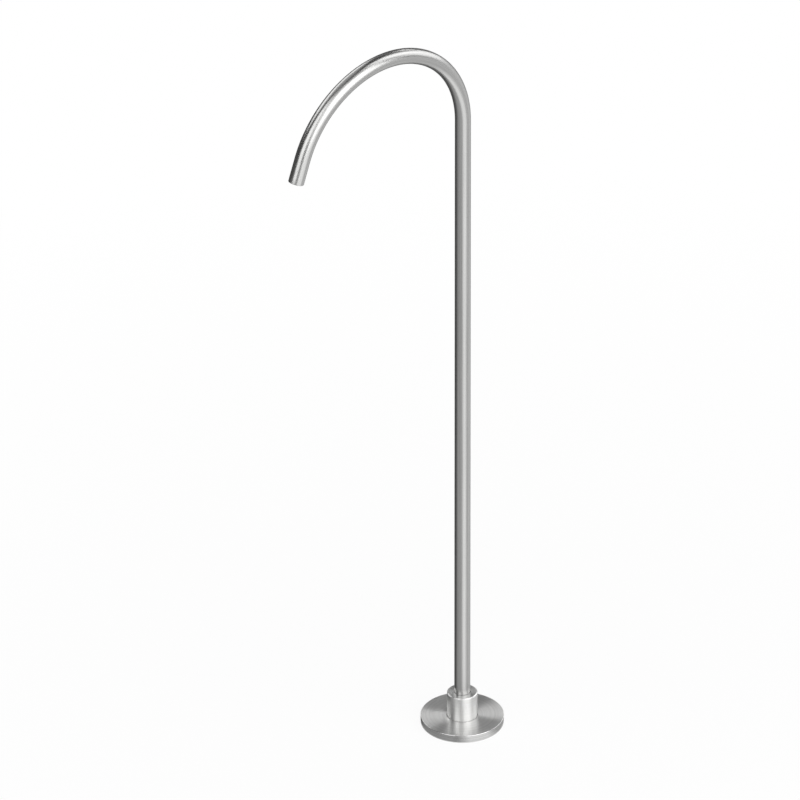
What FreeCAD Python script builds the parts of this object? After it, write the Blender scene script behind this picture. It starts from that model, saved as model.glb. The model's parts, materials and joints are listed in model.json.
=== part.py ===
import FreeCAD, Part
import math
import os

from FreeCAD import Vector

# Freestanding basin spout, in millimetres.
# The origin is on the floor, on the axis of the upright tube.
# +Z is up, and the gooseneck reaches towards -Y. The back of the spout is at +Y.

# Clearances
running_clearance = 0.05
slip_clearance = 0.3
screw_head_inset = 0.2

# Spout tube: drawn stainless tube, bent once and cut square
tube_od = 22.0
tube_wall = 1.5
bend_radius = 150.0
bend_angle = 160.0
bend_start_height = 966.0
outlet_leg = 34.0
mouth_round = 0.7
mouth_inner_round = 0.3

# Base plate: steel disc that is screwed to the floor
base_plate_thickness = 6.0
base_plate_gap = 2.5
floor_hole_d = 6.6
floor_countersink_d = 12.6
floor_hole_edge = 11.0
floor_hole_count = 4

# Floor gasket: flat ring let into the underside of the base plate
gasket_width = 3.0
gasket_depth = 1.5
gasket_edge = 2.0

# Inlet: G1/2 female thread, drawn at its core size
inlet_thread_d = 18.63
inlet_thread_length = 12.0
inlet_lead_in = 0.6
inlet_wall = 2.5
inlet_relief = 0.8
inlet_washer_thickness = 1.8
inlet_seat_thickness = 6.0
waterway_d = 13.0

# Inlet strainer: pressed steel cup with a sieve end
strainer_sheet = 0.4
strainer_height = 4.5
strainer_gap = 0.3
strainer_hole_d = 1.2
strainer_pitch = 2.2

# Countersunk screws that hold the barrel to the base plate
barrel_screw_d = 4.0
barrel_screw_head_d = 7.5
barrel_screw_reach = 8.0
barrel_screw_web = 0.2
barrel_screw_edge = 0.53
barrel_screw_count = 4
barrel_screw_key = 2.5
barrel_screw_key_depth = 1.6

# Swivel socket
thrust_ring_thickness = 2.0
socket_lead_in = 0.6
bush_length = 5.0
bush_wall = 2.2
bush_foot_gap = 0.7
retaining_ring_thickness = 1.0
retaining_ring_bite = 0.7
retaining_ring_land = 1.2
retaining_ring_width = 1.8
retaining_ring_gap = 5.0

# Spigot brazed into the foot of the tube
spigot_waterway_d = 13.0
spigot_lead = 1.6
spigot_land = 1.6
spigot_guide_length = 1.6
spigot_stub_length = 12.0
spigot_chamfer = 0.6

# Seals: round section rings
o_ring_section = 2.0
o_ring_groove_width = 2.4
o_ring_groove_depth = 1.95

# Stop screw: a dog point in a slot round the back of the spigot
swivel_limit = 60.0
stop_screw_d = 4.0
stop_dog_d = 2.5
stop_slot_clearance = 0.1
stop_slot_depth = 1.6
stop_dog_tip_gap = 0.2
stop_screw_inset = 0.4
stop_screw_key = 2.0
stop_screw_key_depth = 2.2

# Collar: turned sleeve over the barrel, which stands as high as the barrel needs
collar_wall = 2.5
collar_top_wall = 4.0
collar_inner_gap = 0.2
collar_barrel_gap = 0.5
collar_chamfer = 1.2
collar_foot_chamfer = 0.3
collar_hole_chamfer = 0.3
collar_screw_d = 4.0
collar_screw_bite = 1.6
collar_screw_inset = 0.3
collar_screw_key = 2.0
collar_screw_key_depth = 1.8

# Wiper: soft ring in the collar's top hole
wiper_height = 1.6
wiper_width = 1.5

# Cover plate: turned dish that hides the floor screws
cover_plate_d = 115.0
cover_plate_height = 11.5
cover_skirt_wall = 3.0
cover_top_wall = 2.5
cover_hole_clearance = 0.5
cover_hub_wall = 4.0
cover_hub_gap = 0.5
cover_edge_round = 0.6
cover_foot_chamfer = 0.3
cover_hole_chamfer = 0.5
cover_ring_section = 2.3
cover_ring_side_gap = 0.15

# Outlet: recessed aerator in a threaded sleeve
outlet_recess = 1.0
sleeve_wall = 1.2
sleeve_length = 14.0
sleeve_shoulder = 2.0
sleeve_shoulder_width = 1.4
aerator_length = 9.0
aerator_wall = 0.9
aerator_lip = 0.6
aerator_lip_depth = 0.8
aerator_chamfer = 0.3
key_notch_width = 2.2
key_notch_depth = 1.1
key_notch_count = 4
grid_thickness = 2.0
grid_cell = 1.5
grid_web = 0.35
grid_rim = 0.7
screen_thickness = 0.2
screen_count = 2
diffuser_wall = 0.8
diffuser_plate = 1.4
jet_d = 1.0
jet_count = 12
jet_edge = 1.6
diffuser_cone_height = 1.6
diffuser_cone_d = 5.0
seal_thickness = 2.4
seal_width = 1.8

# Sizes that follow from the ones above: the tube and the swivel
tube_r = tube_od / 2
tube_bore_r = tube_r - tube_wall
socket_r = tube_r + running_clearance
bend = math.radians(bend_angle)

inlet_r = inlet_thread_d / 2
waterway_r = waterway_d / 2
register_r = inlet_r + inlet_wall
barrel_screw_circle_r = register_r + barrel_screw_web + barrel_screw_head_d / 2
barrel_r = barrel_screw_circle_r + barrel_screw_d / 2 + barrel_screw_edge
inlet_seat_z = inlet_thread_length + inlet_washer_thickness + strainer_sheet
socket_floor_z = inlet_seat_z + inlet_seat_thickness
spigot_bottom_z = socket_floor_z + thrust_ring_thickness

stop_slot_width = stop_dog_d + 2 * stop_slot_clearance
stop_screw_z = spigot_bottom_z + spigot_lead + stop_slot_width / 2
lower_groove_z = stop_screw_z + stop_slot_width / 2 + spigot_land + o_ring_groove_width / 2
upper_groove_z = lower_groove_z + o_ring_groove_width + spigot_land
tube_foot_z = upper_groove_z + o_ring_groove_width / 2 + spigot_guide_length
groove_r = tube_r - o_ring_groove_depth
bush_r = socket_r + bush_wall
bush_bottom_z = tube_foot_z + bush_foot_gap
bush_top_z = bush_bottom_z + bush_length
retaining_groove_top_z = bush_top_z + retaining_ring_thickness
barrel_top_z = retaining_groove_top_z + retaining_ring_land

collar_bore_r = barrel_r + collar_inner_gap
collar_r = collar_bore_r + collar_wall
collar_hole_r = tube_r + slip_clearance
collar_ceiling_z = barrel_top_z + collar_barrel_gap
collar_top_z = collar_ceiling_z + collar_top_wall
wiper_r = collar_hole_r + wiper_width
wiper_bottom_z = collar_ceiling_z + (collar_top_wall - wiper_height) / 2

# Sizes that follow: the cover plate and what it hides
cover_r = cover_plate_d / 2
cover_inner_r = cover_r - cover_skirt_wall
cover_hole_r = collar_r + cover_hole_clearance
cover_ceiling_z = cover_plate_height - cover_top_wall
cover_hub_foot_z = base_plate_thickness + cover_hub_gap
cover_ring_z = (cover_hub_foot_z + cover_plate_height) / 2
cover_ring_inner_r = collar_r + running_clearance
cover_groove_r = cover_ring_inner_r + cover_ring_section
cover_groove_height = cover_ring_section + 2 * cover_ring_side_gap
base_plate_r = cover_inner_r - base_plate_gap
floor_hole_circle_r = base_plate_r - floor_hole_edge
gasket_outer_r = base_plate_r - gasket_edge
gasket_inner_r = gasket_outer_r - gasket_width
collar_screw_z = cover_ring_z

# Sizes that follow: the outlet, with depths counted up the tube from its end
sleeve_r = tube_bore_r
sleeve_bore_r = sleeve_r - sleeve_wall
sleeve_inner_end = outlet_recess + sleeve_length
shoulder_depth = sleeve_inner_end - sleeve_shoulder
aerator_r = sleeve_bore_r - running_clearance
aerator_bore_r = aerator_r - aerator_wall
aerator_depth = shoulder_depth - seal_thickness - aerator_length
grid_depth = aerator_depth + aerator_lip_depth
screens_depth = grid_depth + grid_thickness
diffuser_depth = screens_depth + screen_count * screen_thickness
aerator_inner_end = aerator_depth + aerator_length


def turned(outline):
    """Solid turned about Z from a closed outline of radius and height pairs."""
    points = [Vector(r, 0, z) for r, z in outline]
    face = Part.Face(Part.makePolygon(points + points[:1]))
    return face.revolve(Vector(0, 0, 0), Vector(0, 0, 1), 360)


def ring(inner_r, outer_r, bottom_z, top_z):
    """Plain flat ring about Z."""
    return turned([(inner_r, bottom_z), (outer_r, bottom_z), (outer_r, top_z), (inner_r, top_z)])


def o_ring(inner_r, section, middle_z):
    """Ring of round section about Z."""
    return Part.makeTorus(inner_r + section / 2, section / 2, Vector(0, 0, middle_z))


def round_bar(radius, start, direction, length):
    """Round bar from a start point along a direction."""
    return Part.makeCylinder(radius, length, start, direction)


def hexagon(across_flats, x, y, bottom_z, height):
    """Upright six-sided prism."""
    corner_r = across_flats / math.sqrt(3)
    angles = [math.radians(60 * k + 30) for k in range(6)]
    points = [Vector(x + corner_r * math.cos(a), y + corner_r * math.sin(a), bottom_z) for a in angles]
    return Part.Face(Part.makePolygon(points + points[:1])).extrude(Vector(0, 0, height))


def hex_centres(pitch, limit_r):
    """Points of a honeycomb pattern whose distance from the centre is within the limit."""
    reach = int(limit_r / pitch) + 2
    centres = []
    for row in range(-reach, reach + 1):
        for column in range(-reach, reach + 1):
            x = pitch * (column + row / 2)
            y = pitch * row * math.sqrt(3) / 2
            if math.hypot(x, y) <= limit_r:
                centres.append((x, y))
    return centres


def around(count, radius, first_angle=0.0):
    """Evenly spaced points on a circle about Z."""
    angles = [math.radians(first_angle + 360 * k / count) for k in range(count)]
    return [(radius * math.cos(a), radius * math.sin(a)) for a in angles]


def circular_edges(shape, radius, centre):
    """Edges of a shape that are circles of one radius about one centre."""
    found = []
    for edge in shape.Edges:
        curve = edge.Curve
        if isinstance(curve, Part.Circle) and abs(curve.Radius - radius) < 1e-6:
            if curve.Center.distanceToPoint(centre) < 1e-6:
                found.append(edge)
    return found


# Outlet: the bend turns the tube from straight up, over the top and down towards -Y
bend_end = Vector(
    0,
    -bend_radius * (1 - math.cos(bend)),
    bend_start_height + bend_radius * math.sin(bend),
)
outflow = Vector(0, -math.sin(bend), math.cos(bend))
mouth = bend_end + outflow * outlet_leg


def in_outlet(shape):
    """Places a shape drawn about Z, with height as depth, into the tube's end."""
    turn = FreeCAD.Rotation(Vector(0, 0, 1), outflow.negative())
    shape.Placement = FreeCAD.Placement(mouth, turn)
    return shape


def tube_path():
    """Centre line of the tube: upright run, bend and short straight end."""
    foot = Vector(0, 0, tube_foot_z)
    bend_start = Vector(0, 0, bend_start_height)
    half = bend / 2
    bend_middle = Vector(
        0,
        -bend_radius * (1 - math.cos(half)),
        bend_start_height + bend_radius * math.sin(half),
    )
    rise = Part.LineSegment(foot, bend_start).toShape()
    arch = Part.Arc(bend_start, bend_middle, bend_end).toShape()
    leg = Part.LineSegment(bend_end, mouth).toShape()
    return Part.Wire([rise, arch, leg])


def swept_bar(radius):
    """Solid round bar along the tube's centre line."""
    section = Part.Circle(Vector(0, 0, tube_foot_z), Vector(0, 0, 1), radius).toShape()
    return tube_path().makePipeShell([Part.Wire(section)], True, False)


def spout_tube():
    tube = swept_bar(tube_r).cut(swept_bar(tube_bore_r))
    tube = tube.makeFillet(mouth_round, circular_edges(tube, tube_r, mouth))
    return tube.makeFillet(mouth_inner_round, circular_edges(tube, tube_bore_r, mouth))


def spout_spigot():
    """Brass foot of the tube, with two seal grooves and the stop slot."""
    stub_top_z = tube_foot_z + spigot_stub_length
    bore_r = spigot_waterway_d / 2
    outline = [
        (bore_r, spigot_bottom_z),
        (tube_r - spigot_chamfer, spigot_bottom_z),
        (tube_r, spigot_bottom_z + spigot_chamfer),
    ]
    for middle_z in (lower_groove_z, upper_groove_z):
        low = middle_z - o_ring_groove_width / 2
        high = middle_z + o_ring_groove_width / 2
        outline += [(tube_r, low), (groove_r, low), (groove_r, high), (tube_r, high)]
    outline += [
        (tube_r, tube_foot_z),
        (tube_bore_r, tube_foot_z),
        (tube_bore_r, stub_top_z - spigot_chamfer),
        (tube_bore_r - spigot_chamfer, stub_top_z),
        (bore_r, stub_top_z),
    ]
    return turned(outline).cut(stop_slot())


def stop_slot():
    """Arc slot round the back of the spigot, with round ends the size of the dog and its clearance."""
    floor_r = tube_r - stop_slot_depth
    outer_r = tube_r + stop_slot_depth
    low = stop_screw_z - stop_slot_width / 2
    high = stop_screw_z + stop_slot_width / 2
    corners = [(floor_r, low), (outer_r, low), (outer_r, high), (floor_r, high)]
    points = [Vector(r, 0, z) for r, z in corners]
    section = Part.Face(Part.makePolygon(points + points[:1]))
    section.rotate(Vector(0, 0, 0), Vector(0, 0, 1), 90 - swivel_limit)
    slot = section.revolve(Vector(0, 0, 0), Vector(0, 0, 1), 2 * swivel_limit)
    for angle in (90 - swivel_limit, 90 + swivel_limit):
        direction = Vector(math.cos(math.radians(angle)), math.sin(math.radians(angle)), 0)
        start = direction * floor_r + Vector(0, 0, stop_screw_z)
        slot = slot.fuse(round_bar(stop_slot_width / 2, start, direction, outer_r - floor_r))
    return slot


def spigot_o_ring(middle_z):
    return o_ring(groove_r, o_ring_section - running_clearance, middle_z)


def thrust_ring():
    """Plastic ring on the socket's floor that carries the spout."""
    inner_r = spigot_waterway_d / 2
    outer_r = tube_r - running_clearance
    return ring(inner_r, outer_r, socket_floor_z, spigot_bottom_z)


def base_plate():
    """Disc with countersunk floor holes, a gasket recess and countersunk holes for the barrel screws."""
    plate = ring(register_r + running_clearance, base_plate_r, 0, base_plate_thickness)
    plate = plate.cut(ring(gasket_inner_r, gasket_outer_r, 0, gasket_depth))
    up = Vector(0, 0, 1)
    sink_depth = (floor_countersink_d - floor_hole_d) / 2
    for x, y in around(floor_hole_count, floor_hole_circle_r):
        plate = plate.cut(round_bar(floor_hole_d / 2, Vector(x, y, 0), up, base_plate_thickness))
        sink_start = Vector(x, y, base_plate_thickness - sink_depth)
        sink = Part.makeCone(floor_hole_d / 2, floor_countersink_d / 2, sink_depth, sink_start, up)
        plate = plate.cut(sink)
    for x, y in barrel_screw_places():
        head_r = barrel_screw_head_d / 2 + screw_head_inset
        shank_r = barrel_screw_d / 2
        sink_start = Vector(x, y, 0)
        plate = plate.cut(round_bar(shank_r, sink_start, up, base_plate_thickness))
        plate = plate.cut(Part.makeCone(head_r, shank_r, head_r - shank_r, sink_start, up))
    return plate


def floor_gasket():
    return ring(gasket_inner_r, gasket_outer_r, 0, gasket_depth)


def barrel_screw_places():
    """Barrel screws stand between the floor holes."""
    return around(barrel_screw_count, barrel_screw_circle_r, 180 / barrel_screw_count)


def barrel_screw_end_z():
    return base_plate_thickness + barrel_screw_reach


def swivel_barrel():
    """Brass barrel: inlet thread below, swivel socket above, bush and ring groove at the top."""
    relief_r = inlet_r + inlet_relief
    retaining_groove_r = bush_r + retaining_ring_bite
    barrel = turned([
        (inlet_r + inlet_lead_in, 0),
        (register_r, 0),
        (register_r, base_plate_thickness),
        (barrel_r, base_plate_thickness),
        (barrel_r, barrel_top_z),
        (bush_r, barrel_top_z),
        (bush_r, retaining_groove_top_z),
        (retaining_groove_r, retaining_groove_top_z),
        (retaining_groove_r, bush_top_z),
        (bush_r, bush_top_z),
        (bush_r, bush_bottom_z),
        (socket_r + socket_lead_in, bush_bottom_z),
        (socket_r, bush_bottom_z - socket_lead_in),
        (socket_r, socket_floor_z),
        (waterway_r, socket_floor_z),
        (waterway_r, inlet_seat_z),
        (relief_r, inlet_seat_z),
        (relief_r, inlet_thread_length),
        (inlet_r, inlet_thread_length),
        (inlet_r, inlet_lead_in),
    ])
    up = Vector(0, 0, 1)
    back = Vector(0, 1, 0)
    for x, y in barrel_screw_places():
        start = Vector(x, y, base_plate_thickness)
        barrel = barrel.cut(round_bar(barrel_screw_d / 2, start, up, barrel_screw_reach))
    stop_start = Vector(0, 0, stop_screw_z)
    barrel = barrel.cut(round_bar(stop_screw_d / 2, stop_start, back, collar_r))
    dimple_start = Vector(0, barrel_r - collar_screw_bite, collar_screw_z)
    return barrel.cut(round_bar(collar_screw_d / 2, dimple_start, back, collar_r))


def barrel_screws():
    """Countersunk screws, heads down and set into the underside of the base plate."""
    up = Vector(0, 0, 1)
    shank_r = barrel_screw_d / 2
    head_r = barrel_screw_head_d / 2
    screws = []
    for x, y in barrel_screw_places():
        start = Vector(x, y, screw_head_inset)
        screw = Part.makeCone(head_r, shank_r, head_r - shank_r, start, up)
        screw = screw.fuse(round_bar(shank_r, start, up, barrel_screw_end_z() - screw_head_inset))
        key = hexagon(barrel_screw_key, x, y, screw_head_inset, barrel_screw_key_depth)
        screws.append(screw.cut(key).removeSplitter())
    return Part.makeCompound(screws)


def inlet_washer():
    inner_r = waterway_r - strainer_gap
    return ring(inner_r, inlet_r, inlet_thread_length, inlet_thread_length + inlet_washer_thickness)


def inlet_strainer():
    """Pressed cup with a flat rim under the inlet seat and a pierced end in the waterway."""
    rim_bottom_z = inlet_seat_z - strainer_sheet
    cup_r = waterway_r - strainer_gap
    top_z = inlet_seat_z + strainer_height
    cup = turned([
        (cup_r - strainer_sheet, rim_bottom_z),
        (inlet_r, rim_bottom_z),
        (inlet_r, inlet_seat_z),
        (cup_r, inlet_seat_z),
        (cup_r, top_z),
        (0, top_z),
        (0, top_z - strainer_sheet),
        (cup_r - strainer_sheet, top_z - strainer_sheet),
    ])
    pierced_r = cup_r - strainer_sheet - strainer_hole_d
    up = Vector(0, 0, 1)
    holes = []
    for x, y in hex_centres(strainer_pitch, pierced_r):
        start = Vector(x, y, top_z - 2 * strainer_sheet)
        holes.append(round_bar(strainer_hole_d / 2, start, up, 3 * strainer_sheet))
    return cup.cut(Part.makeCompound(holes))


def guide_bush():
    return ring(socket_r, bush_r, bush_bottom_z, bush_top_z)


def bush_retaining_ring():
    """Open spring ring above the bush, with its gap at the back."""
    outer_r = bush_r + retaining_ring_bite
    inner_r = outer_r - retaining_ring_width
    spring = ring(inner_r, outer_r, bush_top_z, retaining_groove_top_z)
    gap = Part.makeBox(
        retaining_ring_gap,
        outer_r,
        retaining_ring_thickness,
        Vector(-retaining_ring_gap / 2, 0, bush_top_z),
    )
    return spring.cut(gap)


def back_screw(radius, point_y, end_y, z, key, key_depth):
    """Grub screw from a point towards the back, with a socket in its end."""
    screw = round_bar(radius, Vector(0, point_y, z), Vector(0, 1, 0), end_y - point_y)
    socket = hexagon(key, 0, 0, 0, key_depth)
    socket.rotate(Vector(0, 0, 0), Vector(1, 0, 0), 90)
    socket.translate(Vector(0, end_y, z))
    return screw.cut(socket)


def swivel_stop_screw():
    """Dog point screw in the barrel's wall, whose point runs in the spigot's slot."""
    point_y = tube_r - stop_slot_depth + stop_dog_tip_gap
    body_y = socket_r + slip_clearance
    end_y = barrel_r - stop_screw_inset
    body = back_screw(stop_screw_d / 2, body_y, end_y, stop_screw_z, stop_screw_key, stop_screw_key_depth)
    dog = round_bar(stop_dog_d / 2, Vector(0, point_y, stop_screw_z), Vector(0, 1, 0), body_y - point_y)
    return body.fuse(dog).removeSplitter()


def collar():
    """Sleeve with a flat top, a wiper groove in its top hole and a screw hole at the back."""
    body = turned([
        (collar_bore_r, base_plate_thickness),
        (collar_r - collar_foot_chamfer, base_plate_thickness),
        (collar_r, base_plate_thickness + collar_foot_chamfer),
        (collar_r, collar_top_z - collar_chamfer),
        (collar_r - collar_chamfer, collar_top_z),
        (collar_hole_r + collar_hole_chamfer, collar_top_z),
        (collar_hole_r, collar_top_z - collar_hole_chamfer),
        (collar_hole_r, wiper_bottom_z + wiper_height),
        (wiper_r, wiper_bottom_z + wiper_height),
        (wiper_r, wiper_bottom_z),
        (collar_hole_r, wiper_bottom_z),
        (collar_hole_r, collar_ceiling_z),
        (collar_bore_r, collar_ceiling_z),
    ])
    start = Vector(0, tube_r, collar_screw_z)
    return body.cut(round_bar(collar_screw_d / 2, start, Vector(0, 1, 0), collar_r))


def collar_set_screw():
    point_y = barrel_r - collar_screw_bite
    end_y = collar_r - collar_screw_inset
    return back_screw(
        collar_screw_d / 2, point_y, end_y, collar_screw_z, collar_screw_key, collar_screw_key_depth
    )


def collar_wiper():
    return ring(socket_r, wiper_r, wiper_bottom_z, wiper_bottom_z + wiper_height)


def cover_plate():
    """Turned dish with a skirt, a flat top and a hub whose groove holds a ring against the collar."""
    hub_r = cover_groove_r + cover_hub_wall - cover_ring_section
    groove_low = cover_ring_z - cover_groove_height / 2
    groove_high = cover_ring_z + cover_groove_height / 2
    dish = turned([
        (cover_inner_r, 0),
        (cover_r - cover_foot_chamfer, 0),
        (cover_r, cover_foot_chamfer),
        (cover_r, cover_plate_height),
        (cover_hole_r + cover_hole_chamfer, cover_plate_height),
        (cover_hole_r, cover_plate_height - cover_hole_chamfer),
        (cover_hole_r, groove_high),
        (cover_groove_r, groove_high),
        (cover_groove_r, groove_low),
        (cover_hole_r, groove_low),
        (cover_hole_r, cover_hub_foot_z),
        (hub_r, cover_hub_foot_z),
        (hub_r, cover_ceiling_z),
        (cover_inner_r, cover_ceiling_z),
    ])
    rim = circular_edges(dish, cover_r, Vector(0, 0, cover_plate_height))
    return dish.makeFillet(cover_edge_round, rim)


def cover_plate_o_ring():
    return o_ring(cover_ring_inner_r, cover_ring_section, cover_ring_z)


def outlet_sleeve():
    """Threaded sleeve brazed into the tube, with an inner shoulder for the seal."""
    bore_r = sleeve_bore_r - sleeve_shoulder_width
    return in_outlet(turned([
        (sleeve_bore_r, outlet_recess),
        (sleeve_r, outlet_recess),
        (sleeve_r, sleeve_inner_end),
        (bore_r, sleeve_inner_end),
        (bore_r, shoulder_depth),
        (sleeve_bore_r, shoulder_depth),
    ]))


def aerator_housing():
    """Screw-in body with a lip round the grid and key notches in its face."""
    housing = turned([
        (aerator_bore_r - aerator_lip, aerator_depth),
        (aerator_r - aerator_chamfer, aerator_depth),
        (aerator_r, aerator_depth + aerator_chamfer),
        (aerator_r, aerator_inner_end),
        (aerator_bore_r, aerator_inner_end),
        (aerator_bore_r, grid_depth),
        (aerator_bore_r - aerator_lip, grid_depth),
    ])
    for step in range(key_notch_count):
        notch = Part.makeBox(
            2 * aerator_wall + aerator_lip,
            key_notch_width,
            key_notch_depth,
            Vector(aerator_r - aerator_wall, -key_notch_width / 2, aerator_depth),
        )
        notch.rotate(Vector(0, 0, 0), Vector(0, 0, 1), 45 + step * 360 / key_notch_count)
        housing = housing.cut(notch)
    return in_outlet(housing)


def aerator_grid():
    """Honeycomb disc that the water leaves through."""
    pitch = grid_cell + grid_web
    corner_r = grid_cell / math.sqrt(3)
    cells = []
    for x, y in hex_centres(pitch, aerator_bore_r - aerator_lip - grid_rim - corner_r):
        cells.append(hexagon(grid_cell, x, y, grid_depth, grid_thickness))
    disc = round_bar(aerator_bore_r, Vector(0, 0, grid_depth), Vector(0, 0, 1), grid_thickness)
    return in_outlet(disc.cut(Part.makeCompound(cells)))


def aerator_screens():
    """Fine meshes that lie on the grid, as plain discs."""
    discs = []
    for layer in range(screen_count):
        start = Vector(0, 0, screens_depth + layer * screen_thickness)
        discs.append(round_bar(aerator_bore_r, start, Vector(0, 0, 1), screen_thickness))
    return in_outlet(Part.makeCompound(discs))


def aerator_diffuser():
    """Cup that presses on the screens, with a ring of jets and a cone that spreads the water."""
    plate_depth = aerator_inner_end - diffuser_plate
    cone_r = diffuser_cone_d / 2
    cup = turned([
        (aerator_bore_r - diffuser_wall, diffuser_depth),
        (aerator_bore_r, diffuser_depth),
        (aerator_bore_r, aerator_inner_end),
        (0, aerator_inner_end),
        (0, plate_depth - diffuser_cone_height),
        (cone_r, plate_depth),
        (aerator_bore_r - diffuser_wall, plate_depth),
    ])
    jets = []
    for x, y in around(jet_count, aerator_bore_r - diffuser_wall - jet_edge):
        jets.append(round_bar(jet_d / 2, Vector(x, y, plate_depth), Vector(0, 0, 1), diffuser_plate))
    return in_outlet(cup.cut(Part.makeCompound(jets)))


def aerator_seal():
    return in_outlet(ring(sleeve_bore_r - seal_width, sleeve_bore_r, aerator_inner_end, shoulder_depth))


pieces = {
    "spout_tube": spout_tube(),
    "spout_spigot": spout_spigot(),
    "lower_o_ring": spigot_o_ring(lower_groove_z),
    "upper_o_ring": spigot_o_ring(upper_groove_z),
    "thrust_ring": thrust_ring(),
    "base_plate": base_plate(),
    "floor_gasket": floor_gasket(),
    "swivel_barrel": swivel_barrel(),
    "barrel_screws": barrel_screws(),
    "inlet_washer": inlet_washer(),
    "inlet_strainer": inlet_strainer(),
    "guide_bush": guide_bush(),
    "bush_retaining_ring": bush_retaining_ring(),
    "swivel_stop_screw": swivel_stop_screw(),
    "collar": collar(),
    "collar_set_screw": collar_set_screw(),
    "collar_wiper": collar_wiper(),
    "cover_plate": cover_plate(),
    "cover_plate_o_ring": cover_plate_o_ring(),
    "outlet_sleeve": outlet_sleeve(),
    "aerator_housing": aerator_housing(),
    "aerator_grid": aerator_grid(),
    "aerator_screens": aerator_screens(),
    "aerator_diffuser": aerator_diffuser(),
    "aerator_seal": aerator_seal(),
}

os.makedirs("parts", exist_ok=True)
for name, shape in pieces.items():
    shape.exportStep("parts/" + name + ".step")
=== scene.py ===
import json
import math

import bmesh
import bpy
from mathutils import Matrix, Vector


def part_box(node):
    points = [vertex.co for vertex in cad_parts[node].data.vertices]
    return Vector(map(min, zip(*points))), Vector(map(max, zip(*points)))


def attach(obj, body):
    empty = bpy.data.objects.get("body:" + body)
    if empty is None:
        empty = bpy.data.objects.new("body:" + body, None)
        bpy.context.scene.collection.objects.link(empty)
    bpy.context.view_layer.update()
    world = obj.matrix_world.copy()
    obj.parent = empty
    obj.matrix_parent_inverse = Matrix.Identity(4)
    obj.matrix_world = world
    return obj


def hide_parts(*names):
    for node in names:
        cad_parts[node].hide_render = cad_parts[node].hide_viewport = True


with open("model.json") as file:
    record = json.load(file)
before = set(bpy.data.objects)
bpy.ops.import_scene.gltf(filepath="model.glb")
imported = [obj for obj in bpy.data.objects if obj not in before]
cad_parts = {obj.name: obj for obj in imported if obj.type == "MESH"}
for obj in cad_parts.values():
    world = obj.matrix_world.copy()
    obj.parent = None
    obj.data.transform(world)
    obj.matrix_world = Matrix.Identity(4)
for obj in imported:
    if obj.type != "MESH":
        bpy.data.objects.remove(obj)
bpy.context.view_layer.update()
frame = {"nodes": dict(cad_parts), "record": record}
nodes = frame["nodes"]

# Freestanding basin spout, in metres. The origin is on the floor at the axis of the upright tube,
# and the gooseneck reaches towards -Y.
MM = 0.001

# Sizes read from the frame
tube_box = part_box("spout_tube")
collar_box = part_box("collar")
cover_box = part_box("cover_plate")
washer_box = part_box("inlet_washer")
tube_r = (tube_box[1].x - tube_box[0].x) / 2
tube_foot_z = tube_box[0].z
collar_top_z = collar_box[1].z
cover_r = (cover_box[1].x - cover_box[0].x) / 2
thread_core_r = (washer_box[1].x - washer_box[0].x) / 2
thread_top_z = washer_box[0].z

# Sizes that no box gives: the tube
tube_wall = 1.5 * MM
tube_bore_r = tube_r - tube_wall
bend_r = 150 * MM
bend_angle = math.radians(160)
bend_start_z = 966 * MM
leg_length = 34 * MM
mouth_round = 0.7 * MM
mouth_inner_round = 0.3 * MM

# Sizes that no box gives: the inlet's G1/2 thread
thread_pitch = 1.814 * MM
thread_depth = 0.8 * MM
thread_root_r = thread_core_r + thread_depth
thread_lead_in = 0.6 * MM

# Sizes that no box gives: the aerator's two screens, from the mouth inwards
screens_r = 7.35 * MM
screens_depth = 4.4 * MM
screen_thickness = 0.2 * MM
screen_pitch = 0.5 * MM
screen_rim_width = 0.6 * MM

# The photograph's view: the camera's heading, and the picture's width and centre
view_azimuth = math.radians(48.76)
view_elevation = math.radians(31.3)
half_view_angle = math.radians(0.65)
picture_width = 1.09735
picture_centre_right = -0.0859
picture_centre_up = 0.4432
picture_centre_back = 0.30

# Worked out: the end of the bend, the way the water leaves, and the middle of the mouth
bend_end = Vector((0, -bend_r * (1 - math.cos(bend_angle)), bend_start_z + bend_r * math.sin(bend_angle)))
outflow = Vector((0, -math.sin(bend_angle), math.cos(bend_angle)))
mouth = bend_end + outflow * leg_length


# Small helpers

def heading(azimuth, elevation=0.0):
    """Direction by its angle to the right of the camera's and its height above the horizon."""
    turn = view_azimuth + azimuth
    flat = math.cos(elevation)
    return Vector((math.sin(turn) * flat, -math.cos(turn) * flat, math.sin(elevation)))


def linear(code):
    """An sRGB hex colour as linear red, green, blue and alpha."""
    values = [int(code[i:i + 2], 16) / 255 for i in (1, 3, 5)]
    return [v / 12.92 if v <= 0.04045 else ((v + 0.055) / 1.055) ** 2.4 for v in values] + [1.0]


def add(tree, kind, inputs=None, **settings):
    """Adds a node with its settings, and sets or links its inputs by name or number."""
    made = tree.nodes.new(kind)
    for name, value in settings.items():
        setattr(made, name, value)
    for key, value in (inputs or {}).items():
        if isinstance(value, bpy.types.NodeSocket):
            tree.links.new(value, made.inputs[key])
        else:
            made.inputs[key].default_value = value
    return made


def new_material(name):
    """A material with an empty node tree."""
    made = bpy.data.materials.new(name)
    made.use_nodes = True
    made.node_tree.nodes.clear()
    return made, made.node_tree


def new_object(name, mesh, material=None):
    """An object at the origin that shows a mesh, all in one material."""
    made = bpy.data.objects.new(name, mesh)
    bpy.context.scene.collection.objects.link(made)
    if material:
        mesh.materials.clear()
        mesh.materials.append(material)
    return made


def smooth(mesh, sharp_above=40):
    """Smooth shading with sharp edges where faces meet at more than an angle in degrees."""
    for polygon in mesh.polygons:
        polygon.use_smooth = True
    mesh.set_sharp_from_angle(angle=math.radians(sharp_above))


# Camera: a long lens from far away, because the photograph is close to a parallel view

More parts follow.
